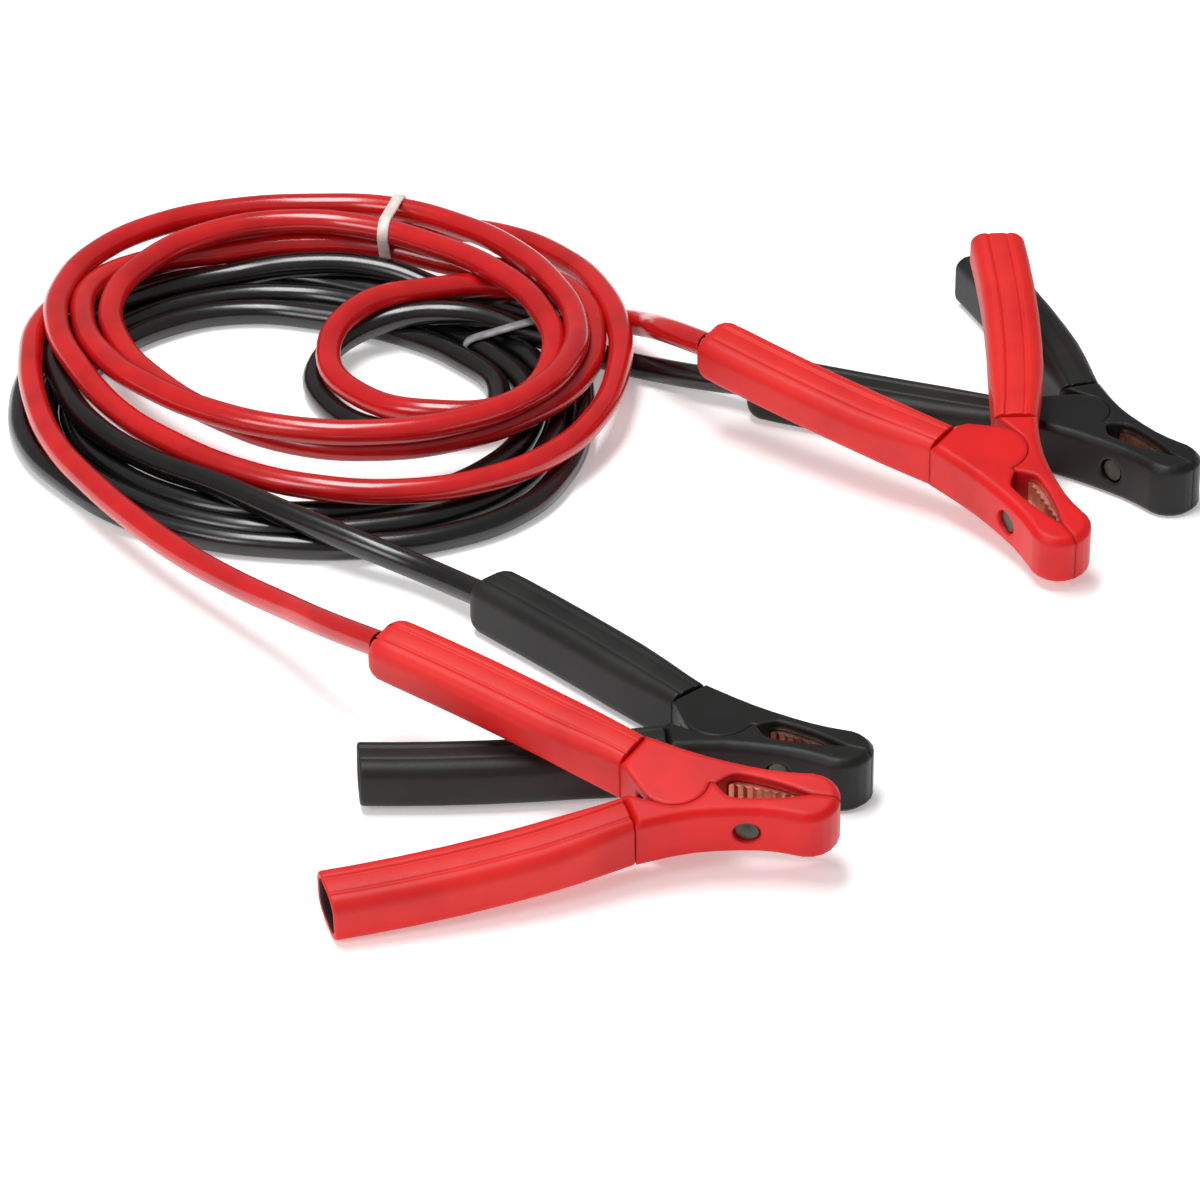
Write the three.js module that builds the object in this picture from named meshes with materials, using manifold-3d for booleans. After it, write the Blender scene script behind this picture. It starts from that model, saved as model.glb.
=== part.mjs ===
// A set of car jumper cables: a red and a black lead, each coiled and tied, with a spring
// clamp on both ends. The red lead lies on the black one. Millimetres, +Z up, floor at z = 0.
import * as THREE from 'three';
import { mergeVertices } from 'three/addons/utils/BufferGeometryUtils.js';
import Module from 'manifold-3d';

const wasm = await Module();
wasm.setup();

// Clearances
const seatGap = 0.3;            // between pieces that touch
const partingGap = 0.3;         // between the closed jaws

// Clamp body: the origin is the pivot, +X points to the tip and +Y to the cable's half
const jawReach = 54.5;          // pivot to tip
const clampThickness = 20.4;    // height of a clamp that lies on its side
const edgeChamfer = 2;
const noseLength = 10.5;        // rounded end of the jaws
const noseHalfWidth = 10.9;
const waistReach = 30;          // where the jaws are narrowest
const waistHalfWidth = 10.3;
const shoulderReach = 9;
const cableShoulder = 13.2;     // half width at the shoulder, cable side
const freeShoulder = 14.6;      // the same, free side

// Handles: each starts at a seam, where its grip meets its jaw
const seamHalfWidth = 7.65;
const cableSeam = { x: -15.3, y: 12.1, angle: 24.8 };
const freeSeam = { x: -12.2, y: -15.9, angle: 27.6 };
const gripLength = 102;
const gripWidth = 19;
const gripHeight = 17;
const gripTaper = 32;           // from the seam to the full section
const gripCorner = 4.6;         // facet cut off each corner of the section
const gripWall = 2.3;           // wall of the hollow free grip
const gripNose = 4;             // length of the cable grip's rounded end
const noseInset = 2.6;
const cableBow = 1.2;           // how far a grip bows outwards
const freeBow = 2.8;
const tangLength = 30;          // arm of a jaw inside its grip
const tangWidth = 8;
const tangHeight = 11;
const tangRoot = 4;             // how far the arm reaches into the jaw
const tangCorner = 1;

// Pivot: the cable half's ears are flush discs, and the free half's hub turns between them
const earRadius = 11.6;
const earThickness = 3;
const hubRadius = 9.5;
const hubEarThickness = 2.6;
const pinRadius = 2.5;
const pinCover = 1.5;           // ear left over each end of the pin
const openingAngle = 32;        // how far the free half turns, degrees
const springRadius = 5.6;
const springWire = 2;
const springTurns = 2.5;
const springPitch = 2.4;
const springPocketClearance = 0.9;

// Mouth between the jaws, and the toothed copper plates that line it
const mouthStart = 13.6;
const mouthEnd = 46;
const mouthHalfWidth = 5.3;
const mouthWidest = 22.5;
const plateStart = 17.5;
const plateEnd = 48.5;
const plateWidth = 13;
const plateBackStart = 5.9;     // distance of the plate's back from the parting plane
const plateBackEnd = 3.2;
const plateThickness = 2.6;     // with its teeth
const toothHeight = 1;
const toothPitch = 3.1;

// Screw that holds each plate, sunk in the jaw's outer side
const screwReach = 25.5;
const screwHoleRadius = 4.7;
const screwHoleDepth = 2.6;
const screwHeadRadius = 3.9;
const screwHeadHeight = 1.7;
const screwShankRadius = 1.5;

// Leads
const cableDiameter = 9.2;
const cableSides = 8;
const tubeStep = 23;            // length of one straight piece of a lead's tube
const coilInner = 62;
const tieWidth = 4.6;
const tieThickness = 1.4;

// Places on the floor: the pivot of each clamp, and its turn, nod and lean in degrees.
// A flipped clamp lies on its other side. The black clamps lie flat, the red ones lean on them.
const places = {
  front_red: { x: 24, y: -166.8, z: clampThickness + 1.7, turn: -9.6, nod: 1.4, lean: 13, flipped: false },
  front_black: { x: 39.2, y: -114.5, z: clampThickness / 2, turn: -22.6, nod: 0, lean: 0, flipped: false },
  back_red: { x: 138.8, y: 42.9, z: clampThickness + 1.9, turn: -61, nod: 9.5, lean: 6, flipped: true },
  back_black: { x: 171, y: 87.8, z: clampThickness / 2, turn: -44.5, nod: 0, lean: 0, flipped: true },
};
const blackCoil = { x: -112, y: 117, outer: 103, bottom: 0, top: 13.8, tie: 22 };
const redCoil = { x: -96, y: 133, outer: 107.5, bottom: 14.1, top: 32, tie: 76 };

// Free stretches of the leads, from the grip or out of the coil
const redFrontRoute = [
  [-101, -69, 36], [-122, -47, 32], [-145, -20, 26.5], [-167, 10, 21.5],
  [-186, 44, 19], [-199.5, 76, 18.8], [-207.5, 112, 18.8], [-208.3, 150, 18.8],
];
const redBackRoute = [[23, 140, 27.5], [14.4, 146.6, 27]];
const redLoopRoute = [
  [-51.5, 168, 18.9], [-62, 178.5, 18.9], [-76, 182.5, 18.9], [-91, 175, 18.7], [-101, 158, 16],
  [-102.5, 138, 14.6], [-95, 119, 14.6], [-82, 106, 15.5], [-69, 97, 17.8], [-57.2, 91.5, 18.9],
];
const blackFrontRoute = [[-62, -1, 8], [-87.2, 12.8, 7]];
const blackBackRoute = [[34, 131, 8.5], [12, 136, 8], [-9.4, 136.3, 8]];
const blackLoopRoute = [
  [-95.9, 174.1, 4.8], [-107, 163, 4.8], [-111.5, 148, 4.8], [-109, 130, 4.8], [-100, 113, 4.8],
  [-90, 97, 4.8], [-82, 83, 4.8], [-76.1, 69.8, 4.8],
];

const deg = THREE.MathUtils.degToRad;
const v2 = (x, y) => new THREE.Vector2(x, y);
const halfThickness = clampThickness / 2;
const earInner = halfThickness - earThickness;
const split = partingGap / 2;

// Finishes
function plastic(color, roughness) {
  return new THREE.MeshStandardMaterial({ color, roughness, metalness: 0 });
}
function metal(color, roughness) {
  return new THREE.MeshStandardMaterial({ color, roughness, metalness: 1 });
}
const finishes = {
  red: { jaw: plastic(0xd8201c, 0.4), grip: plastic(0xd8403a, 0.5), cable: plastic(0xc9302c, 0.3) },
  black: { jaw: plastic(0x222222, 0.4), grip: plastic(0x2c2c2b, 0.5), cable: plastic(0x1c1c1c, 0.3) },
  copper: metal(0xc88a6a, 0.35),
  steel: metal(0x8d8d8a, 0.4),
  nylon: plastic(0xe6dcd6, 0.4),
};

// Solids from three.js geometry
function toSolid(geometry) {
  geometry.deleteAttribute('normal');
  geometry.deleteAttribute('uv');
  const merged = mergeVertices(geometry, 1e-4);
  const vertProperties = new Float32Array(merged.attributes.position.array);
  const triVerts = new Uint32Array(merged.index.array);
  return new wasm.Manifold(new wasm.Mesh({ numProp: 3, vertProperties, triVerts }));
}

function toMesh(name, solid, material) {
  const { vertProperties, triVerts } = solid.getMesh();
  const geometry = new THREE.BufferGeometry();
  geometry.setAttribute('position', new THREE.BufferAttribute(vertProperties, 3));
  geometry.setIndex(new THREE.BufferAttribute(triVerts, 1));
  geometry.computeVertexNormals();
  const mesh = new THREE.Mesh(geometry, material);
  mesh.name = name;
  return mesh;
}

function prism(points, bottom, top, chamfer = 0) {
  const geometry = new THREE.ExtrudeGeometry(new THREE.Shape(points), {
    depth: top - bottom - 2 * chamfer,
    bevelEnabled: chamfer > 0,
    bevelThickness: chamfer,
    bevelSize: chamfer,
    bevelOffset: -chamfer,
    bevelSegments: 1,
    steps: 1,
  });
  geometry.translate(0, 0, bottom + chamfer);
  return toSolid(geometry);
}

function disc(radius, bottom, top, sides = 32) {
  const geometry = new THREE.CylinderGeometry(radius, radius, top - bottom, sides);
  geometry.rotateX(Math.PI / 2);
  geometry.translate(0, 0, (bottom + top) / 2);
  return toSolid(geometry);
}

// The same cut in both faces of a clamp: between two heights above and below its middle
function bothFaces(makeLayer, inner, outer) {
  return makeLayer(inner, outer).add(makeLayer(-outer, -inner));
}

// A closed body through a row of sections with equal numbers of points
function loft(sections) {
  const count = sections[0].length;
  const positions = sections.flat().flatMap((p) => [p.x, p.y, p.z]);
  const index = [];
  for (let s = 0; s + 1 < sections.length; s++) {
    for (let i = 0; i < count; i++) {
      const a = s * count + i;
      const b = s * count + ((i + 1) % count);
      index.push(a, b, b + count, a, b + count, a + count);
    }
  }
  const last = (sections.length - 1) * count;
  for (let i = 1; i + 1 < count; i++) {
    index.push(0, i + 1, i);
    index.push(last, last + i, last + i + 1);
  }
  const geometry = new THREE.BufferGeometry();
  geometry.setAttribute('position', new THREE.Float32BufferAttribute(positions, 3));
  geometry.setIndex(index);
  return toSolid(geometry);
}

// Clamp outline
const mirrorY = (points) => points.map((p) => v2(p.x, -p.y));

// The seam's outer and inner corner, on the side where y is positive
function seamCorners(seam) {
  const turn = deg(seam.angle);
  const across = v2(Math.sin(turn), Math.cos(turn)).multiplyScalar(seamHalfWidth);
  const centre = v2(seam.x, Math.abs(seam.y));
  return { outer: centre.clone().add(across), inner: centre.clone().sub(across) };
}

function outerEdge(seam, shoulder) {
  const noseCentre = jawReach - noseLength;
  const nose = [0, 18, 36, 54, 72, 90].map((a) =>
    v2(noseCentre + noseLength * Math.cos(deg(a)), noseHalfWidth * Math.sin(deg(a))));
  const back = new THREE.SplineCurve([
    nose.at(-1), v2(waistReach, waistHalfWidth), v2(shoulderReach, shoulder), seamCorners(seam).outer,
  ]);
  return [...nose, ...back.getPoints(9).slice(1)];
}

function clampBody() {
  const cableEdge = outerEdge(cableSeam, cableShoulder);
  const freeEdge = mirrorY(outerEdge(freeSeam, freeShoulder)).slice(1).reverse();
  const outline = [...cableEdge, seamCorners(cableSeam).inner, ...mirrorY([seamCorners(freeSeam).inner]), ...freeEdge];
  return prism(outline, -halfThickness, halfThickness, edgeChamfer);
}

function mouth() {
  const half = new THREE.SplineCurve([
    v2(mouthStart, 0), v2((mouthStart + mouthWidest) / 2, mouthHalfWidth * 0.86),
    v2(mouthWidest, mouthHalfWidth), v2((mouthWidest + mouthEnd) / 2, mouthHalfWidth * 0.66), v2(mouthEnd, 0),
  ]).getPoints(12);
  const outline = [...half, ...mirrorY(half).slice(1, -1).reverse()];
  return prism(outline, -halfThickness - 1, halfThickness + 1);
}

// The ear's tail: where the disc's edge runs on to the inner corner of the cable's seam
function earTail() {
  const inner = seamCorners(cableSeam).inner;
  const angle = inner.angle() + Math.acos(earRadius / inner.length());
  return v2(earRadius * Math.cos(angle), earRadius * Math.sin(angle));
}

// Plan regions of the two halves, far past the outline
function cableRegion() {
  const tail = earTail();
  const inner = seamCorners(cableSeam).inner;
  return [
    v2(2 * jawReach, split), v2(2 * jawReach, jawReach), v2(-jawReach, jawReach), v2(-jawReach, inner.y),
    inner, tail, v2(0, tail.y), v2(0, split),
  ];
}

function freeRegion() {
  const inner = mirrorY([seamCorners(freeSeam).inner])[0];
  const backAngle = earTail().angle() + deg(openingAngle) + 0.04;
  const reach = earRadius + seatGap;
  return [
    v2(2 * jawReach, -split), v2(2 * jawReach, -jawReach), v2(-jawReach, -jawReach), v2(-jawReach, inner.y),
    inner, v2(reach * Math.cos(backAngle), reach * Math.sin(backAngle)), v2(0, -split),
  ];
}

// Jaws
const plateBack = (x) =>
  THREE.MathUtils.mapLinear(x, plateStart, plateEnd, plateBackStart, plateBackEnd);

function platePocket() {
  const from = plateStart - seatGap;
  const to = plateEnd + seatGap;
  const outline = [v2(from, -1), v2(to, -1), v2(to, plateBack(to) + seatGap), v2(from, plateBack(from) + seatGap)];
  return prism(outline, -plateWidth / 2 - seatGap, plateWidth / 2 + seatGap);
}

// Width of the jaw where the screw goes in
function screwFace() {
  return waistHalfWidth + 0.1;
}

function alongY(solid, y) {
  return solid.rotate([-90, 0, 0]).translate([screwReach, y, 0]);
}

function screwHole() {
  const floor = screwFace() - screwHoleDepth;
  const counterbore = alongY(disc(screwHoleRadius, 0, screwHoleDepth + 5, 16), floor);
  const shank = alongY(disc(screwShankRadius + seatGap, -screwFace(), 1, 10), floor);
  return counterbore.add(shank);
}

// The arm of a jaw inside its grip, or the room for it when grown by a clearance
function tang(seam, bow, clearance = 0) {
  const width = tangWidth / 2 + clearance;
  const height = tangHeight / 2 + clearance;
  const stations = [-tangRoot, tangLength / 2, tangLength + clearance];
  return loft(stations.map((s) => gripSection(seam, s, bow, width, height, tangCorner)));
}

const flipY = (solid) => solid.mirror([0, 1, 0]);

function cableJaw() {
  const middle = disc(earRadius + seatGap, -earInner, earInner);
  const ears = bothFaces((a, b) => disc(earRadius, a, b), earInner, halfThickness);
  const region = prism(cableRegion(), -halfThickness, halfThickness);
  const pinBore = disc(pinRadius + seatGap, -halfThickness + pinCover, halfThickness - pinCover, 12);
  return clampBody().intersect(region).subtract(middle).add(ears)
    .subtract(mouth()).subtract(platePocket()).subtract(screwHole()).subtract(pinBore)
    .add(tang(cableSeam, cableBow));
}

function freeJaw() {
  const hubHalf = earInner - seatGap;
  const pocketHalf = hubHalf - hubEarThickness;
  const hub = disc(hubRadius, -hubHalf, hubHalf);
  const earRoom = bothFaces((a, b) => disc(earRadius + seatGap, a, b), hubHalf, halfThickness + 1);
  const pocketRadius = springRadius + springWire / 2 + springPocketClearance;
  const springRoom = disc(pocketRadius, -pocketHalf, pocketHalf, 20);
  const region = prism(freeRegion(), -halfThickness, halfThickness);
  return clampBody().intersect(region).subtract(earRoom).add(hub)
    .subtract(springRoom).subtract(disc(pinRadius + seatGap, -hubHalf - 1, hubHalf + 1, 12))
    .subtract(mouth()).subtract(flipY(platePocket())).subtract(flipY(screwHole()))
    .add(tang(freeSeam, freeBow));
}

function jawPlate() {
  const teeth = Math.floor((plateEnd - plateStart) / toothPitch);
  const pitch = (plateEnd - plateStart) / teeth;
  const front = [];
  for (let i = 0; i < teeth; i++) {
    const tip = plateEnd - i * pitch;
    const valley = tip - pitch / 2;
    front.push(v2(tip, plateBack(tip) - plateThickness));
    front.push(v2(valley, plateBack(valley) - plateThickness + toothHeight));
  }
  const start = v2(plateStart, plateBackStart - plateThickness);
  const outline = [v2(plateStart, plateBackStart), v2(plateEnd, plateBackEnd), ...front, start];
  return prism(outline, -plateWidth / 2, plateWidth / 2);
}

function plateScrew() {
  const floor = screwFace() - screwHoleDepth + seatGap;
  const shankEnd = plateBack(screwReach - screwShankRadius) + seatGap;
  const head = alongY(disc(screwHeadRadius, 0, screwHeadHeight, 12), floor);
  const shank = alongY(disc(screwShankRadius, shankEnd - floor, 0.5, 8), floor);
  return head.add(shank);
}

// Grips: an octagon section swept along each handle, bowed outwards
function gripSection(seam, distance, bow, halfWidth, halfHeight, corner) {
  const side = Math.sign(seam.y);
  const turn = deg(seam.angle);
  const along = v2(-Math.cos(turn), side * Math.sin(turn));
  const across = v2(Math.sin(turn), side * Math.cos(turn));
  const share = distance / gripLength;
  const shift = 4 * bow * share * (1 - share);
  const corners = [
    [halfWidth, halfHeight - corner], [halfWidth - corner, halfHeight],
    [corner - halfWidth, halfHeight], [-halfWidth, halfHeight - corner],
    [-halfWidth, corner - halfHeight], [corner - halfWidth, -halfHeight],
    [halfWidth - corner, -halfHeight], [halfWidth, corner - halfHeight],
  ];
  const points = corners.map(([w, z]) => new THREE.Vector3(
    seam.x + along.x * distance + across.x * (w + shift),
    seam.y + along.y * distance + across.y * (w + shift),
    z,
  ));
  return side > 0 ? points.reverse() : points;
}

function gripLoft(seam, bow, inset, ends) {
  const middle = [0.35, 0.6, 0.85].map((share) =>
    [gripTaper + share * (gripLength - gripTaper), gripWidth / 2, gripHeight / 2, gripCorner]);
  const stations = [
    [ends.start, seamHalfWidth, halfThickness, edgeChamfer],
    [gripTaper, gripWidth / 2, gripHeight / 2 + 0.4, gripCorner],
    ...middle, ...ends.last,
  ];
  return loft(stations.map(([s, w, h, corner]) =>
    gripSection(seam, s, bow, w - inset, h - inset, corner - 0.4 * inset)));
}

function cableGrip() {
  const shoulder = [gripLength - gripNose, gripWidth / 2, gripHeight / 2, gripCorner];
  const nose = [gripLength, gripWidth / 2 - noseInset, gripHeight / 2 - noseInset, gripCorner - noseInset / 2];
  const outside = gripLoft(cableSeam, cableBow, 0, { start: seatGap, last: [shoulder, nose] });
  return outside.subtract(tang(cableSeam, cableBow, seatGap));
}

function freeGrip() {
  const end = (s) => [s, gripWidth / 2, gripHeight / 2, gripCorner];
  const outside = gripLoft(freeSeam, freeBow, 0, { start: seatGap, last: [end(gripLength)] });
  const bore = gripLoft(freeSeam, freeBow, gripWall, { start: -1, last: [end(gripLength + 1)] });
  return outside.subtract(bore);
}

// Tube with a round section along a smooth curve
function tube(points, diameter, sides, steps) {
  const radius = diameter / 2;
  const section = Array.from({ length: sides }, (_, i) => {
    const a = (2 * Math.PI * (i + 0.5)) / sides;
    return v2(radius * Math.cos(a), radius * Math.sin(a));
  });
  const path = new THREE.CatmullRomCurve3(points, false, 'centripetal');
  return toSolid(new THREE.ExtrudeGeometry(new THREE.Shape(section), { steps, extrudePath: path }));
}

function torsionSpring() {
  const points = [];
  const stepsPerTurn = 10;
  const total = springTurns * stepsPerTurn;
  for (let i = 0; i <= total; i++) {
    const angle = (2 * Math.PI * i) / stepsPerTurn - Math.PI / 2;
    const height = (i / total - 0.5) * springTurns * springPitch;
    points.push(new THREE.Vector3(springRadius * Math.cos(angle), springRadius * Math.sin(angle), height));
  }
  return tube(points, springWire, 6, total);
}

function pivotPin() {
  const half = halfThickness - pinCover - seatGap;
  return disc(pinRadius, -half, half, 12);
}

// Clamp: all its pieces in one group, with the free half's group turned by the hinge
function makeClamp(name, colour) {
  const place = places[name];
  const clamp = new THREE.Group();
  clamp.position.set(place.x, place.y, place.z);
  clamp.rotation.set(deg(place.lean) + (place.flipped ? Math.PI : 0), deg(place.nod), deg(place.turn), 'ZYX');
  const { jaw, grip } = finishes[colour];
  const pieces = {
    cable_jaw: [cableJaw(), jaw],
    cable_grip: [cableGrip(), grip],
    free_jaw: [freeJaw(), jaw],
    free_grip: [freeGrip(), grip],
    cable_plate: [jawPlate(), finishes.copper],
    free_plate: [flipY(jawPlate()), finishes.copper],
    cable_screw: [plateScrew(), finishes.steel],
    free_screw: [flipY(plateScrew()), finishes.steel],
    pivot_pin: [pivotPin(), finishes.steel],
    spring: [torsionSpring(), finishes.steel],
  };
  for (const [piece, [solid, material]] of Object.entries(pieces)) {
    clamp.add(toMesh(`${name}_${piece}`, solid, material));
  }
  clamp.updateMatrixWorld(true);
  return clamp;
}

// A point on the cable's axis, a distance outside the end of the clamp's cable grip
function gripExit(clamp, distance) {
  const turn = deg(cableSeam.angle);
  const s = gripLength + distance;
  const local = new THREE.Vector3(cableSeam.x - s * Math.cos(turn), cableSeam.y + s * Math.sin(turn), 0);
  return local.applyMatrix4(clamp.matrixWorld);
}

// Leads
function freeStretch(name, points, material) {
  const curve = new THREE.CatmullRomCurve3(points, false, 'centripetal');
  const steps = Math.max(2, Math.round(curve.getLength() / tubeStep));
  return toMesh(name, tube(points, cableDiameter, cableSides, steps), material);
}

const routePoints = (route) => route.map(([x, y, z]) => new THREE.Vector3(x, y, z));

function fromGrip(clamp, route) {
  return [gripExit(clamp, seatGap), gripExit(clamp, 1.4 * cableDiameter), ...routePoints(route)];
}

// The band of a tie round the coil's section, at the tie's place on the ring
function tieBlock(coil, inset, width) {
  const half = width / 2;
  const radial = [coilInner + inset, coil.outer - inset];
  const outline = [v2(radial[0], -half), v2(radial[1], -half), v2(radial[1], half), v2(radial[0], half)];
  return prism(outline, coil.bottom + inset, coil.top - inset).rotate([0, 0, coil.tie]);
}

function coilTie(name, coil) {
  const band = tieBlock(coil, 0, tieWidth).subtract(tieBlock(coil, tieThickness, tieWidth + 1));
  return toMesh(name, band.translate([coil.x, coil.y, 0]), finishes.nylon);
}

function coilRing(name, coil, material) {
  const corner = 3;
  const notch = tieBlock(coil, -1, tieWidth + 2 * seatGap)
    .subtract(tieBlock(coil, tieThickness + seatGap, tieWidth + 2));
  const profile = [
    v2(coilInner + corner, coil.bottom), v2(coil.outer - corner, coil.bottom),
    v2(coil.outer, coil.bottom + corner), v2(coil.outer, coil.top - corner),
    v2(coil.outer - corner, coil.top), v2(coilInner + corner, coil.top),
    v2(coilInner, coil.top - corner), v2(coilInner, coil.bottom + corner),
  ];
  const geometry = new THREE.LatheGeometry([...profile, profile[0]], 40);
  geometry.rotateX(Math.PI / 2);
  return toMesh(name, toSolid(geometry).subtract(notch).translate([coil.x, coil.y, 0]), material);
}

const jumperCables = new THREE.Group();
const clamps = {};
for (const name of Object.keys(places)) {
  clamps[name] = makeClamp(name, name.split('_')[1]);
  jumperCables.add(clamps[name]);
}

// The origin is on the floor, under the middle of the box round the four clamps
const box = new THREE.Box3().setFromObject(jumperCables, true);
const middle = box.getCenter(new THREE.Vector3());

const red = finishes.red.cable;
const black = finishes.black.cable;
jumperCables.add(
  coilRing('red_coil', redCoil, red),
  coilRing('black_coil', blackCoil, black),
  coilTie('red_tie', redCoil),
  coilTie('black_tie', blackCoil),
  freeStretch('red_cable_front', fromGrip(clamps.front_red, redFrontRoute), red),
  freeStretch('red_cable_back', fromGrip(clamps.back_red, redBackRoute), red),
  freeStretch('red_cable_loop', routePoints(redLoopRoute), red),
  freeStretch('black_cable_front', fromGrip(clamps.front_black, blackFrontRoute), black),
  freeStretch('black_cable_back', fromGrip(clamps.back_black, blackBackRoute), black),
  freeStretch('black_cable_loop', routePoints(blackLoopRoute), black),
);
jumperCables.position.set(-middle.x, -middle.y, 0);

export default jumperCables;
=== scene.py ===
# Car jumper cables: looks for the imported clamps, with the two leads laid in their coils.
# Clamp sizes are millimetres in the clamp's own frame: pivot at the origin, +X to the tip,
# +Y to the half that carries the cable. Everything else is metres in the row frame.
import math
import bmesh
import bpy
import mathutils
from mathutils import Matrix, Vector


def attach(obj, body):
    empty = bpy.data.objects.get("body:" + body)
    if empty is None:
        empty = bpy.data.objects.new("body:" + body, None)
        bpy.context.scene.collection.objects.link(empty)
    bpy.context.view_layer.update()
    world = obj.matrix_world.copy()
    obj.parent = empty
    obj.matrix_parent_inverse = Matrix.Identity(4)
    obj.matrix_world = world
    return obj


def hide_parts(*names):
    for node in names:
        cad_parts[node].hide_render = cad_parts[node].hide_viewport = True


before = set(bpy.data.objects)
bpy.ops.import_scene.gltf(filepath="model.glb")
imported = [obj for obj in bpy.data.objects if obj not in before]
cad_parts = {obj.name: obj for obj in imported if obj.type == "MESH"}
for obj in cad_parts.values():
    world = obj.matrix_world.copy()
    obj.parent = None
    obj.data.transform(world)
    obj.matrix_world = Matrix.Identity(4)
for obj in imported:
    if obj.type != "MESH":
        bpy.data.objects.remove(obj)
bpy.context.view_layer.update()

MM = 0.001

# Camera, as fitted to the four clamps in the photograph
CAMERA_PLACE = (-0.061128, -1.893833, 1.1748)
CAMERA_LENS = 192.3         # mm, on a sensor 36 mm wide
LOOK_DOWN = 31.84           # degrees below level

camera_data = bpy.data.cameras.new("studio_camera")
camera = bpy.data.objects.new("studio_camera", camera_data)
bpy.context.collection.objects.link(camera)
camera_data.lens = CAMERA_LENS
camera_data.sensor_width = 36
camera_data.clip_end = 20
camera.location = CAMERA_PLACE
camera.rotation_euler = (math.radians(90 - LOOK_DOWN), 0, 0)
bpy.context.scene.camera = camera


# Materials

def paint(hex_colour):
    """Linear RGBA of an sRGB hex colour."""
    channels = [int(hex_colour[i:i + 2], 16) / 255 for i in (0, 2, 4)]
    return tuple(c / 12.92 if c <= 0.04045 else ((c + 0.055) / 1.055) ** 2.4 for c in channels) + (1,)


def add(tree, kind, settings=None, links=None):
    """Adds one node with its settings and the sockets that feed it."""
    node = tree.nodes.new(kind)
    for key, value in (settings or {}).items():
        if hasattr(node, key):
            setattr(node, key, value)
        else:
            node.inputs[key].default_value = value
    for key, socket in (links or {}).items():
        tree.links.new(socket, node.inputs[key])
    return node


def shader(name, **sockets):
    """New material with a Principled shader; returns the material, its tree and the shader."""
    material = bpy.data.materials.new(name)
    material.use_nodes = True
    tree = material.node_tree
    surface = tree.nodes["Principled BSDF"]
    for key, value in sockets.items():
        surface.inputs[key.replace("_", " ")].default_value = value
    return material, tree, surface


def ramp(tree, factor, low, high, start=0.35, end=0.65):
    """Blend from one colour to another as the pattern goes from start to end."""
    node = add(tree, "ShaderNodeValToRGB", links={"Fac": factor})
    node.color_ramp.elements[0].position = start
    node.color_ramp.elements[0].color = low
    node.color_ramp.elements[1].position = end
    node.color_ramp.elements[1].color = high
    return node.outputs["Color"]


def moulded_plastic(name, deep, plain, worn, roughness, grain_mm, grain_depth, edge_mm):
    """Moulded plastic. The eye gets soft mottling about 24 mm across, a fine mould grain, and rounded
    edges that are rubbed paler. The real grain is too fine to show, so it is drawn coarser."""
    material, tree, surface = shader(name, IOR=1.5, Specular_IOR_Level=0.3)
    place = add(tree, "ShaderNodeNewGeometry")
    mottle = add(tree, "ShaderNodeTexNoise", {"Scale": 1 / 0.024, "Detail": 3.0},
                 {"Vector": place.outputs["Position"]})
    base = ramp(tree, mottle.outputs["Fac"], paint(deep), paint(plain), 0.3, 0.6)
    edge = add(tree, "ShaderNodeBevel", {"samples": 6, "Radius": edge_mm * MM})
    turn = add(tree, "ShaderNodeVectorMath", {"operation": "DOT_PRODUCT"},
               {0: edge.outputs["Normal"], 1: place.outputs["Normal"]})
    wear = add(tree, "ShaderNodeMapRange", {"From Min": 0.99, "From Max": 0.86, "To Max": 0.35},
               {"Value": turn.outputs["Value"]})
    colour = add(tree, "ShaderNodeMix", {"data_type": "RGBA"}, {"Factor": wear.outputs["Result"]})
    tree.links.new(base, colour.inputs[6])
    colour.inputs[7].default_value = paint(worn)
    tree.links.new(colour.outputs[2], surface.inputs["Base Color"])
    grain = add(tree, "ShaderNodeTexNoise", {"Scale": 1 / (grain_mm * MM), "Detail": 2.0},
                {"Vector": place.outputs["Position"]})
    rough = add(tree, "ShaderNodeMapRange", {"To Min": roughness - 0.06, "To Max": roughness + 0.08},
                {"Value": grain.outputs["Fac"]})
    tree.links.new(rough.outputs["Result"], surface.inputs["Roughness"])
    bump = add(tree, "ShaderNodeBump", {"Strength": 0.35, "Distance": grain_depth * MM},
               {"Height": grain.outputs["Fac"], "Normal": edge.outputs["Normal"]})
    tree.links.new(bump.outputs["Normal"], surface.inputs["Normal"])
    return material


def cable_vinyl(name, deep, plain, roughness):
    """Extruded PVC insulation. The eye gets a gloss with narrow highlights, faintly uneven along the
    cable from being coiled, and dulled in spots a few millimetres wide from handling."""
    material, tree, surface = shader(name, IOR=1.53, Coat_Weight=0.2, Coat_Roughness=0.1)
    place = add(tree, "ShaderNodeNewGeometry")
    uneven = add(tree, "ShaderNodeTexNoise", {"Scale": 1 / 0.018, "Detail": 2.0},
                 {"Vector": place.outputs["Position"]})
    colour = ramp(tree, uneven.outputs["Fac"], paint(deep), paint(plain), 0.3, 0.62)
    tree.links.new(colour, surface.inputs["Base Color"])
    scuff = add(tree, "ShaderNodeTexNoise", {"Scale": 1 / 0.0035, "Detail": 4.0},
                {"Vector": place.outputs["Position"]})
    rough = add(tree, "ShaderNodeMapRange", {"To Min": roughness - 0.05, "To Max": roughness + 0.07},
                {"Value": scuff.outputs["Fac"]})
    tree.links.new(rough.outputs["Result"], surface.inputs["Roughness"])
    bump = add(tree, "ShaderNodeBump", {"Strength": 0.15, "Distance": 0.2 * MM},
               {"Height": uneven.outputs["Fac"]})
    tree.links.new(bump.outputs["Normal"], surface.inputs["Normal"])
    return material


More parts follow.
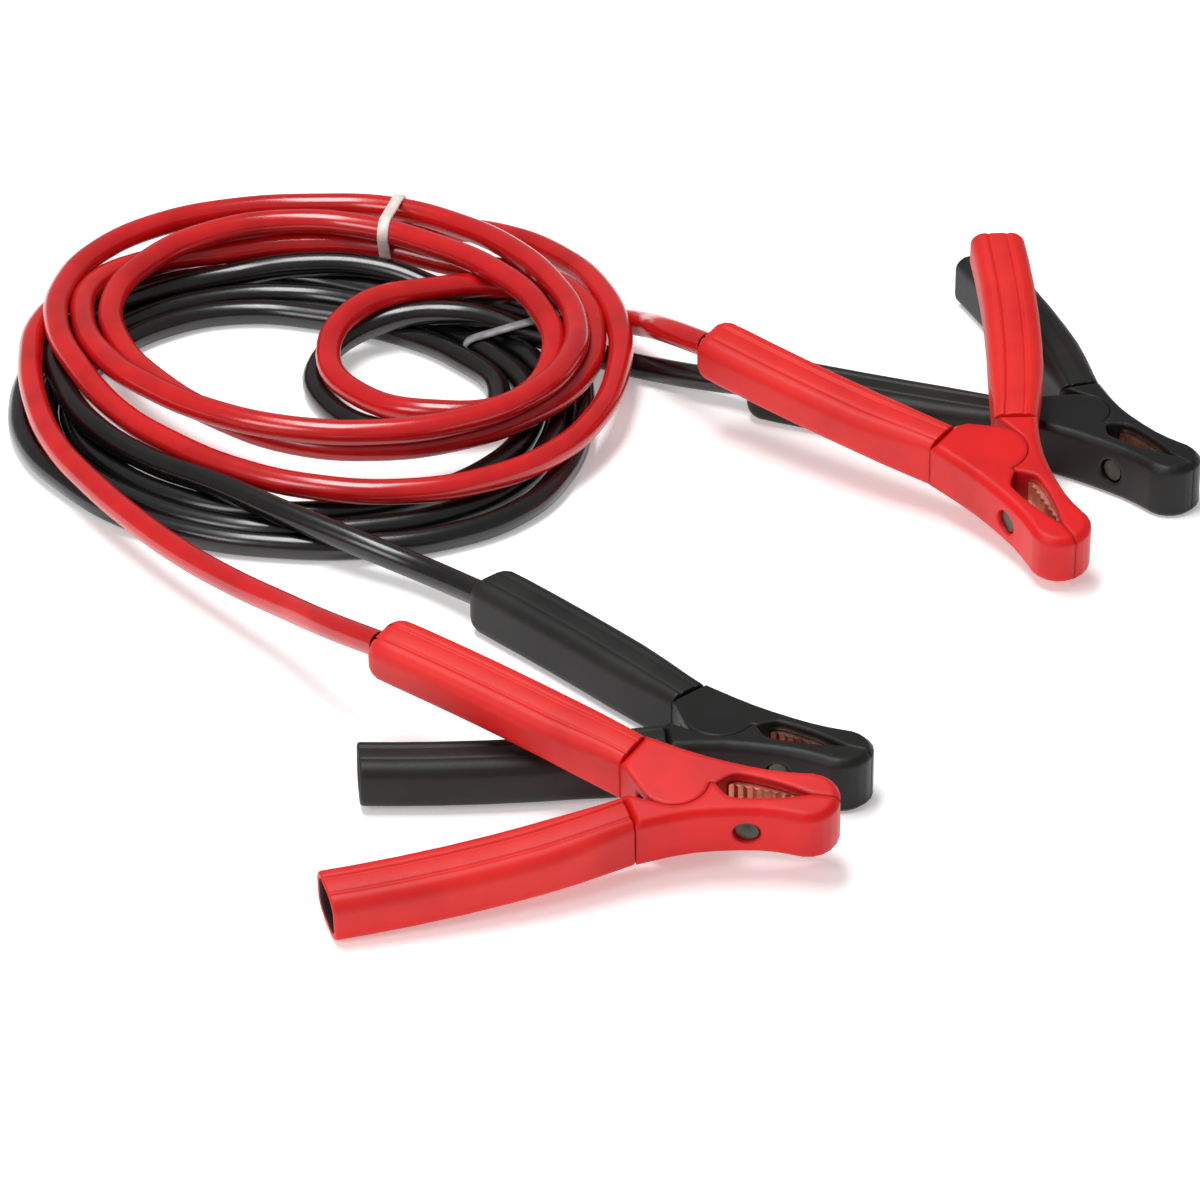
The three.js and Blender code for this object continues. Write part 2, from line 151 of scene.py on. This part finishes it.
def worked_metal(name, dull, bright, roughness, mark_mm):
    """Plated or drawn metal. The eye gets patches of tarnish about 6 mm across and fine marks."""
    material, tree, surface = shader(name, Metallic=1.0)
    place = add(tree, "ShaderNodeNewGeometry")
    tarnish = add(tree, "ShaderNodeTexNoise", {"Scale": 1 / 0.006, "Detail": 4.0},
                  {"Vector": place.outputs["Position"]})
    colour = ramp(tree, tarnish.outputs["Fac"], paint(dull), paint(bright), 0.3, 0.6)
    tree.links.new(colour, surface.inputs["Base Color"])
    marks = add(tree, "ShaderNodeTexNoise", {"Scale": 1 / (mark_mm * MM), "Detail": 3.0},
                {"Vector": place.outputs["Position"]})
    rough = add(tree, "ShaderNodeMapRange", {"To Min": roughness - 0.1, "To Max": roughness + 0.12},
                {"Value": marks.outputs["Fac"]})
    tree.links.new(rough.outputs["Result"], surface.inputs["Roughness"])
    bump = add(tree, "ShaderNodeBump", {"Strength": 0.3, "Distance": 0.08 * MM},
               {"Height": marks.outputs["Fac"]})
    tree.links.new(bump.outputs["Normal"], surface.inputs["Normal"])
    return material


def tie_nylon(name, deep, plain):
    """Thin nylon strap. The eye gets a milky, slightly cloudy white or grey that light gets into."""
    material, tree, surface = shader(name, IOR=1.53, Subsurface_Weight=0.3, Subsurface_Scale=0.002)
    place = add(tree, "ShaderNodeNewGeometry")
    cloud = add(tree, "ShaderNodeTexNoise", {"Scale": 1 / 0.004, "Detail": 3.0},
                {"Vector": place.outputs["Position"]})
    colour = ramp(tree, cloud.outputs["Fac"], paint(deep), paint(plain))
    tree.links.new(colour, surface.inputs["Base Color"])
    rough = add(tree, "ShaderNodeMapRange", {"To Min": 0.25, "To Max": 0.45}, {"Value": cloud.outputs["Fac"]})
    tree.links.new(rough.outputs["Result"], surface.inputs["Roughness"])
    return material


# Deep, plain and worn colour, roughness, grain and its depth, and radius of the rounded edge, in mm
FINISHES = {
    "red_jaw": moulded_plastic("moulded_abs_red", "C40A0C", "DA1012", "E0332C", 0.4, 0.5, 0.05, 2.4),
    "black_jaw": moulded_plastic("moulded_abs_black", "0C0C0B", "141413", "262625", 0.4, 0.5, 0.05, 2.4),
    "red_grip": moulded_plastic("dipped_vinyl_red", "C81B1A", "DA2420", "E0483E", 0.48, 0.7, 0.09, 0.8),
    "black_grip": moulded_plastic("dipped_vinyl_black", "141413", "1F1F1E", "343432", 0.5, 0.7, 0.09, 0.8),
    # The bore finish is painted shade: a near-black brown standing in for the shade inside a free grip's
    # hollow end, not the vinyl's own colour.
    "bore": moulded_plastic("dipped_vinyl_bore", "1A1212", "241716", "3A2A28", 0.7, 0.7, 0.09, 0.4),
    "red_cable": cable_vinyl("pvc_insulation_red", "B20D10", "C81618", 0.2),
    "black_cable": cable_vinyl("pvc_insulation_black", "080808", "0F0F0E", 0.24),
    "copper": worked_metal("copper_plate", "C08C74", "F0C4AE", 0.3, 0.5),
    "steel": worked_metal("zinc_plated_steel", "34352E", "57584E", 0.4, 0.4),
}
NYLON = {
    "red": tie_nylon("nylon_natural", "E8D2CC", "F5E8E3"),
    "black": tie_nylon("nylon_smoke", "77787A", "9A9B9D"),
}


# Leads: points of each cable's centre line, from its back clamp to its front clamp, in mm.
# Each goes once round its small inner loop, then round its turns.
RED_ROUTE = [
    (-22.1, 116.5, 34.4), (-37.5, 140.4, 27.4), (-46.7, 166.2, 15.4), (-67.7, 185.4, 8.7),
    (-95.5, 192.8, 15.6), (-124.2, 185.2, 19.2), (-150.1, 171, 19.7), (-160.6, 144.3, 14.7),
    (-147.8, 118, 12.7), (-121.7, 104, 14), (-93.1, 110, 13.9), (-78.4, 134.7, 19),
    (-83.8, 163.4, 24.1), (-100.9, 187.8, 26.1), (-122.9, 208.3, 25.1), (-149.1, 222.6, 25.2),
    (-178.7, 226.3, 25.5), (-207.1, 217.5, 25.3), (-229.1, 197.2, 24.6), (-240.5, 169.9, 23.3),
    (-235.8, 140.6, 20.9), (-219.5, 115.7, 18.5), (-197.5, 95.4, 16.5), (-171.4, 80.9, 15),
    (-141.8, 76.5, 14.8), (-112.7, 83, 15), (-87.5, 99.2, 15.2), (-69.4, 122.8, 15.8),
    (-63.2, 151.9, 17.1), (-69.6, 181.1, 18.5), (-88.7, 202.9, 15.6), (-116.1, 214.9, 13.7),
    (-144.5, 224.4, 15.6), (-174.3, 226.7, 15.8), (-203.8, 221.5, 15.1), (-231.2, 209.6, 17.2),
    (-248.9, 186.4, 20.3), (-250.6, 156.7, 21.7), (-240.9, 128.5, 22.7), (-222.7, 104.7, 23.9),
    (-199.3, 86, 24.3), (-171.6, 74.7, 24.2), (-141.8, 72.2, 24.1), (-112.7, 79.3, 24.1),
    (-88.1, 96.2, 24.5), (-72.8, 121.8, 24.8), (-69.9, 151.4, 24.5), (-78.3, 180.1, 24.6),
    (-93.4, 206, 24.3), (-113.6, 228, 22.7), (-139.9, 242.1, 22.6), (-169.6, 246.2, 21.7),
    (-199.2, 242.1, 22), (-226.5, 229.8, 22.5), (-247.9, 209, 22.6), (-259.3, 181.5, 23),
    (-259.9, 151.6, 23.1), (-250.2, 123.4, 21.6), (-234.2, 98.2, 17.9), (-213, 77.1, 16.2),
    (-188.6, 59.7, 15.4), (-160.8, 48.6, 15.3), (-131, 46.3, 15), (-102.2, 54.3, 15),
    (-78.2, 72.2, 15.2), (-62.5, 97.5, 15.7), (-55, 126.5, 16.5), (-54.1, 156.4, 18.3),
    (-60.9, 185.6, 18.7), (-74.5, 212.2, 16.9), (-95.8, 233.1, 15.2), (-123.1, 244.9, 12.5),
    (-152.9, 247.6, 10.5), (-182.5, 243, 9.7), (-210.3, 231.9, 9.3), (-235.4, 215.5, 10.4),
    (-255.2, 193.3, 13), (-267.2, 166, 15.7), (-268.6, 136.2, 16.7), (-264.3, 106.5, 15.8),
    (-255.3, 77.9, 15.5), (-241, 51.6, 15.5), (-224.4, 26.6, 15.6), (-206.3, 2.6, 16.3),
    (-187.3, -20.5, 18.9), (-168.8, -43.6, 23.8), (-152.8, -67.9, 31.2), (-134.3, -90, 37.1),
]
BLACK_ROUTE = [
    (-5.5, 130.4, 10.2), (-32.2, 143.8, 6.9), (-58.2, 158.9, 4.8), (-85.5, 169.8, 8.9),
    (-113.8, 175.1, 14.7), (-143.5, 173.4, 11.6), (-163.9, 153.4, 6), (-159.7, 124.4, 4.8),
    (-137.2, 105.2, 4.8), (-108.3, 107.5, 4.8), (-98.2, 134.3, 4.8), (-113.1, 159.9, 4.8),
    (-136.7, 178.5, 4.8), (-164.8, 189.3, 4.8), (-194.5, 193.8, 4.8), (-222.6, 183.9, 4.8),
    (-242.7, 161.7, 4.8), (-252.4, 133.4, 4.8), (-249.7, 103.6, 4.8), (-234.6, 77.7, 4.8),
    (-211.4, 58.5, 4.8), (-183, 48.9, 4.8), (-153, 49.6, 4.8), (-124.7, 59.7, 4.8),
    (-101.3, 78.5, 4.8), (-87.6, 105.1, 4.8), (-87.3, 135, 4.8), (-101.3, 161.3, 4.8),
    (-122, 183.2, 4.8), (-147.8, 198.7, 4.8), (-176.6, 206.9, 4.8), (-206.3, 202.8, 4.8),
    (-232.5, 188.1, 4.8), (-251.7, 165.2, 4.8), (-261.4, 136.8, 4.8), (-260.4, 106.8, 4.8),
    (-247.8, 79.6, 4.8), (-227.3, 57.6, 4.8), (-201.3, 42.5, 4.8), (-171.9, 36, 4.8),
    (-141.9, 37.8, 4.8), (-113.7, 48, 4.8), (-91.5, 68.2, 4.8), (-79.5, 95.6, 4.8),
    (-76.5, 125.5, 4.8), (-84.6, 154.3, 4.8), (-102.8, 178.4, 4.8), (-126, 197.4, 4.8),
    (-152.6, 211.6, 4.8), (-181, 221.3, 4.8), (-210.9, 219.2, 4.8), (-237.2, 204.8, 4.8),
    (-257.4, 182.6, 4.8), (-268.1, 154.6, 4.8), (-271.7, 124.7, 4.8), (-266.7, 95.1, 5.5),
    (-251.5, 69.2, 5.8), (-230.3, 47.9, 4.8), (-203.8, 33.6, 4.8), (-174.6, 26.6, 4.8),
    (-144.5, 25.8, 4.8), (-115.1, 32.3, 4.8), (-90.2, 48.8, 4.8), (-75.1, 74.6, 4.8),
    (-68.4, 104, 4.8), (-67.9, 133.9, 6.9), (-73.2, 162.7, 14.1), (-91.8, 184.7, 9.9),
    (-116.5, 201.4, 8.1), (-143.9, 212.8, 12.6), (-173.7, 215.4, 13.1), (-203.4, 212.6, 9.1),
    (-230.5, 199.7, 9), (-251.6, 178.5, 10.9), (-260.6, 150.4, 13.5), (-255, 120.8, 13.7),
    (-242.3, 93.6, 13.6), (-221.1, 72.3, 12.2), (-197.5, 53.7, 13.9), (-174, 34.7, 14),
    (-148.8, 18.5, 12.2), (-122.7, 3.8, 8.9), (-100.4, -16.2, 10.2),
]
CABLE_DIAMETER = 9.2
DRAWN_RADIUS = 4.64         # a little over half of it, for the flats between the curve's sides
SAMPLES_PER_POINT = 12      # points read from a cable's line between two of its route's points


def link(name, data):
    """New object in the scene."""
    piece = bpy.data.objects.new(name, data)
    bpy.context.collection.objects.link(piece)
    return piece


def lay_cable(name, route, colour, nodes):
    """Round cable along the route, in place of the nodes."""
    curve = bpy.data.curves.new(name, "CURVE")
    curve.dimensions = "3D"
    curve.resolution_u = 6
    curve.bevel_depth = DRAWN_RADIUS * MM
    curve.bevel_resolution = 6
    spline = curve.splines.new("BEZIER")
    spline.bezier_points.add(len(route) - 1)
    for point, place in zip(spline.bezier_points, route):
        point.co = Vector(place) * MM
        point.handle_left_type = point.handle_right_type = "AUTO"
    piece = link(name, curve)
    curve.materials.append(FINISHES[f"{colour}_cable"])
    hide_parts(*nodes)
    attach(piece, "leads")
    return piece


def centre_line(piece):
    """Points along a cable's Bezier spline, in mm."""
    points = piece.data.splines[0].bezier_points
    line = []
    for a, b in zip(points, points[1:]):
        corners = (a.co, a.handle_right, b.handle_left, b.co)
        line += mathutils.geometry.interpolate_bezier(*corners, SAMPLES_PER_POINT + 1)[:-1]
    return [p / MM for p in line]


def new_mesh(name, vertices, faces, material, sharp):
    """Smooth-shaded mesh, with creases where faces meet at more than sharp degrees."""
    mesh = bpy.data.meshes.new(name)
    mesh.from_pydata([tuple(v) for v in vertices], [], faces)
    mesh.update()
    mesh.polygons.foreach_set("use_smooth", [True] * len(mesh.polygons))
    mesh.set_sharp_from_angle(angle=math.radians(sharp))
    mesh.materials.append(material)
    return link(name, mesh)


# Ties: a thin strap pulled round the strands where they cross its plane
TIE_WIDTH = 4.2
TIE_THICKNESS = 1.1
TIE_EDGE = 0.4              # bevel along both edges of the strap
TIE_SLACK = 0.1             # from a strand's surface to the strap
STEEPEST_SLANT = 0.5        # the most that a slanting strand is widened in the plane is 1 over this
FLOOR_GAP = 0.02
ROUND_POINTS = 36


def tie_strands(name, cable, centre, angle, reach, node):
    """The tie stands on its centre's radius at that angle. reach is the range of distances along the
    radius, then of heights, in which it goes round the strands. A strand's section in the plane is a
    circle, widened where it crosses at a slant."""
    out = Vector((math.cos(angle), math.sin(angle), 0))
    side = Vector((-math.sin(angle), math.cos(angle), 0))
    line = [p - Vector(centre) for p in centre_line(cable)]
    crossings = []
    for a, b in zip(line, line[1:]):
        before, after = a.dot(side), b.dot(side)
        if before * after <= 0 and before != after:
            p = a.lerp(b, before / (before - after))
            if reach[0] < p.dot(out) < reach[1] and reach[2] < p.z < reach[3]:
                slant = max(STEEPEST_SLANT, abs((b - a).normalized().dot(side)))
                crossings.append((Vector((p.dot(out), p.z)), Vector((1 / slant, 1))))
    radius = CABLE_DIAMETER / 2 + TIE_SLACK
    turns = [math.radians(360 / ROUND_POINTS * k) for k in range(ROUND_POINTS)]
    round_strand = [Vector((math.cos(t), math.sin(t))) * radius for t in turns]
    cloud = [c + r * stretch for c, stretch in crossings for r in round_strand]
    hull = [cloud[i] for i in mathutils.geometry.convex_hull_2d([tuple(c) for c in cloud])]
    middle = sum(hull, Vector((0, 0))) / len(hull)
    rim = []
    for k, p in enumerate(hull):
        along = hull[(k + 1) % len(hull)] - hull[k - 1]
        outward = Vector((along.y, -along.x)).normalized()
        if outward.dot(p - middle) < 0:
            outward = -outward
        rim.append((p, outward))
    half = TIE_WIDTH / 2
    shoulder = 0.7          # height of the bevel's foot, as a share of the strap's thickness
    flat = half - TIE_EDGE
    profile = [(-half, 0), (-half, shoulder), (-flat, 1), (flat, 1), (half, shoulder), (half, 0)]
    vertices = []
    for p, outward in rim:
        for w, h in profile:
            q = p + outward * (h * TIE_THICKNESS)
            height = Vector((0, 0, max(q.y, FLOOR_GAP)))
            vertices.append((Vector(centre) + out * q.x + side * w + height) * MM)
    n, m = len(rim), len(profile)
    faces = []
    for i in range(n):
        after = (i + 1) % n
        for j in range(m):
            beside = (j + 1) % m
            faces.append((i * m + j, after * m + j, after * m + beside, i * m + beside))
    tie = new_mesh(name, vertices, faces, NYLON[name.split("_")[0]], 60)
    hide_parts(node)
    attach(tie, "leads")
    return tie


# Route, real length in metres, and the tie: centre, angle in degrees and reach
LEADS = {
    "red": (RED_ROUTE, 2.611, (-157.13, 139.17, 0), 79, (62, 125, 6, 40)),
    "black": (BLACK_ROUTE, 2.471, (-140, 165, 0), 2, (30, 75, 0, 20)),
}
for colour, (route, length, centre, angle, reach) in LEADS.items():
    stretches = [f"{colour}_cable_{part}" for part in ("front", "back", "loop")]
    cable = lay_cable(f"{colour}_lead", route, colour, stretches + [f"{colour}_coil"])
    tie = tie_strands(f"{colour}_strap", cable, centre, math.radians(angle), reach, f"{colour}_tie")


# Grips: octagon sleeves with rounded corners and two moulded grooves on each broad face.
# Each clamp's place in mm, and its turn, nod and lean in degrees, as in the solids
CLAMPS = {
    "front_red": ((-37.1278, -160.6329, 22.1), (-9.6, 1.4, 13)),
    "front_black": ((-21.9278, -108.3329, 10.2), (-22.6, 0, 0)),
    "back_red": ((77.6722, 49.0671, 22.3), (-61, 9.5, 186)),
    "back_black": ((109.8722, 93.9671, 10.2), (-44.5, 0, 180)),
}
# Where each grip starts at its jaw, its angle to the clamp, and how far it bows outwards
GRIPS = {
    "cable": {"x": -15.3, "y": 12.1, "angle": 24.8, "bow": 1.2},
    "free": {"x": -12.2, "y": -15.9, "angle": 27.6, "bow": 2.8},
}
GRIP_LENGTH = 102
GRIP_WALL = 2.3
HALF_WIDTH = 9.9
TALL = 10.1                 # half height of a grip
GRIP_HALF_HEIGHT = {        # lower where one clamp lies across another or slopes to the floor
    ("front_red", "cable"): 8.5,
    ("front_red", "free"): 9.3,
    ("front_black", "free"): 8.5,
    ("back_red", "cable"): 8.9,
    ("back_red", "free"): 8.7,
}
CORNER = 3                  # facet cut off each corner of the section
CORNER_RADIUS = 1.9
CORNER_STEPS = 4
GROOVES = (3.3, -3.3)       # from the middle of the broad face
GROOVE_SECTION = [(0.9, 0), (0.45, 0.75), (0, 1), (-0.45, 0.75), (-0.9, 0)]
GROOVE_DEPTH = 0.7
BORE_RINGS = 3              # the last rings of a free grip, which line its bore and get the near-black painted shade


def clamp_frame(name):
    """Takes a point from the clamp's own frame to the row frame."""
    place, (turn, nod, lean) = CLAMPS[name]
    spin = (Matrix.Rotation(math.radians(turn), 4, "Z") @ Matrix.Rotation(math.radians(nod), 4, "Y")
            @ Matrix.Rotation(math.radians(lean), 4, "X"))
    return Matrix.Translation(Vector(place) * MM) @ spin


def rounded(corners, radius):
    """The outline with each corner replaced by a short arc, so edges catch the light."""
    points = []
    for k, here in enumerate(corners):
        before, after = corners[k - 1], corners[(k + 1) % len(corners)]
        cut = min(radius, (before - here).length * 0.45, (after - here).length * 0.45)
        start = here + (before - here).normalized() * cut
        end = here + (after - here).normalized() * cut
        for step in range(CORNER_STEPS):
            t = step / (CORNER_STEPS - 1)
            points.append((1 - t) ** 2 * start + 2 * t * (1 - t) * here + t * t * end)
    return points


def grip_outline(half_width, half_height, corner, groove_depth):
    """Half of the section runs over the top from +w to -w, the rest is its mirror below."""
    top = [Vector((half_width, half_height - corner)), Vector((half_width - corner, half_height)),
           Vector((corner - half_width, half_height)), Vector((-half_width, half_height - corner))]
    whole = top + [Vector((p.x, -p.y)) for p in reversed(top)]
    arcs = rounded(whole, CORNER_RADIUS)
    upper = [Vector((at + w, half_height - groove_depth * d)) for at in GROOVES for w, d in GROOVE_SECTION]
    lower = [Vector((p.x, -p.y)) for p in reversed(upper)]
    cut = 2 * CORNER_STEPS
    return arcs[:cut] + upper + arcs[cut:3 * cut] + lower + arcs[3 * cut:]


def build_grip(clamp, half):
    """Sleeve over a clamp's arm: the cable's has a rounded end, the free half's is hollow, with its bore
    lined in near-black painted shade.
    """
    seam = GRIPS[half]
    side = 1 if half == "cable" else -1
    turn = math.radians(seam["angle"])
    along = Vector((-math.cos(turn), side * math.sin(turn), 0))
    across = Vector((math.sin(turn), side * math.cos(turn), 0))
    frame_matrix = clamp_frame(clamp)

    def ring(s, outline):
        share = s / GRIP_LENGTH
        shift = 4 * seam["bow"] * share * (1 - share)
        origin = Vector((seam["x"], seam["y"], 0)) + along * s
        points = [origin + across * (p.x + shift) + Vector((0, 0, p.y)) for p in outline]
        return [frame_matrix @ (point * MM) for point in points]

    high = GRIP_HALF_HEIGHT.get((clamp, half), TALL)
    wide = HALF_WIDTH
    # distance from the jaw, half width, half height, corner, groove depth
    stations = [
        (0.35, 7.4, 9.9, 2, 0.4),
        (0.8, 7.7, 10.2, 2.2, 0.6),
        (8, 8.1, 10.1, 2.4, GROOVE_DEPTH),
        (20, 9.2, (10.1 + high) / 2, 2.8, GROOVE_DEPTH),
    ]
    stations += [(s, wide, high, CORNER, GROOVE_DEPTH) for s in (32, 44, 60, 76, 90)]
    if half == "cable":
        stations += [
            (97, 9.8, high - 0.1, CORNER, 0.6),
            (99.2, 9.3, high - 0.6, CORNER, 0.4),
            (100.8, 8.4, high - 1.5, CORNER, 0.2),
            (101.7, 7.2, high - 2.6, 2.8, 0),
            (GRIP_LENGTH, 6, 5.4, 2.5, 0),
        ]
    else:
        inside = high - GRIP_WALL
        stations += [
            (101, wide, high, CORNER, 0.6),
            (101.7, 9.7, high - 0.2, CORNER, 0.4),
            (GRIP_LENGTH, 9.2, high - 0.7, CORNER, 0.1),
            (101.7, 8.2, high - 1.7, 2.8, 0),
            (100.5, 7.6, inside, 2.6, 0),
            (60, 7.6, inside, 2.6, 0),
        ]
    rings = [ring(s, grip_outline(w, h, c, depth)) for s, w, h, c, depth in stations]
    count = len(rings[0])
    vertices = [v for r in rings for v in r]
    faces = []
    for i in range(len(rings) - 1):
        for j in range(count):
            k = (j + 1) % count
            faces.append((i * count + j, i * count + k, (i + 1) * count + k, (i + 1) * count + j))
    faces.append(tuple(range(count)))
    last = (len(rings) - 1) * count
    faces.append(tuple(last + j for j in reversed(range(count))))
    colour = clamp.split("_")[1]
    grip = new_mesh(f"{clamp}_{half}_sleeve", vertices, faces, FINISHES[f"{colour}_grip"], 50)
    # Faces of the last rings, inside the hollow end, get the near-black painted shade in place of the shade
    # that falls there.
    if half == "free":
        grip.data.materials.append(FINISHES["bore"])
        bore = (len(rings) - BORE_RINGS) * count
        for face in grip.data.polygons:
            if min(face.vertices) >= bore:
                face.material_index = 1
    mesh_normals(grip)
    even = grip.modifiers.new("even_shading", "WEIGHTED_NORMAL")
    even.keep_sharp = True
    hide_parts(f"{clamp}_{half}_grip")
    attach(grip, "leads" if half == "cable" else f"{clamp}_free_half")


def mesh_normals(piece):
    """Turns all faces outwards."""
    work = bmesh.new()
    work.from_mesh(piece.data)
    bmesh.ops.recalc_face_normals(work, faces=work.faces)
    work.to_mesh(piece.data)
    work.free()


for clamp in CLAMPS:
    colour = clamp.split("_")[1]
    for half in GRIPS:
        build_grip(clamp, half)
        finish = {"jaw": f"{colour}_jaw", "plate": "copper", "screw": "steel"}
        for piece, slot in finish.items():
            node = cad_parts[f"{clamp}_{half}_{piece}"]
            node.material_slots[0].material = FINISHES[slot]
    for piece in ("pivot_pin", "spring"):
        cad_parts[f"{clamp}_{piece}"].material_slots[0].material = FINISHES["steel"]


# Studio: pale floor, broad overhead light and a weaker one from the front left
FLOOR_REACH = 4
LIGHT_AIM = (-0.06, 0, 0.02)
ROOM_BRIGHTNESS = 0.3


def lay_floor():
    """Matt white paper, a little bright of its own, so that it stays near white."""
    r = FLOOR_REACH
    mesh = bpy.data.meshes.new("floor")
    mesh.from_pydata([(-r, -r, 0), (r, -r, 0), (r, r, 0), (-r, r, 0)], [], [(0, 1, 2, 3)])
    material = shader("matt_paper_white", Base_Color=paint("FAFAFA"), Roughness=0.9,
                      Emission_Color=paint("FFFFFF"), Emission_Strength=0.3)[0]
    mesh.materials.append(material)
    link("floor", mesh)


def softbox(name, place, size, power):
    """Rectangular studio light, in metres and watts, that faces the leads."""
    lamp = bpy.data.lights.new(name, "AREA")
    lamp.shape = "RECTANGLE"
    lamp.size, lamp.size_y = size
    lamp.energy = power
    piece = link(name, lamp)
    piece.location = place
    aim = Vector(LIGHT_AIM) - piece.location
    piece.rotation_euler = aim.to_track_quat("-Z", "Y").to_euler()


lay_floor()
softbox("overhead_light", (-0.35, 0.05, 1.7), (1.1, 0.5), 25)
softbox("front_left_light", (-1.2, -1.2, 1.1), (0.7, 0.7), 10)
world = bpy.data.worlds.new("white_room")
world.use_nodes = True
background = world.node_tree.nodes["Background"]
background.inputs["Color"].default_value = (1, 1, 1, 1)
background.inputs["Strength"].default_value = ROOM_BRIGHTNESS
bpy.context.scene.world = world
bpy.context.scene.view_settings.view_transform = "Standard"
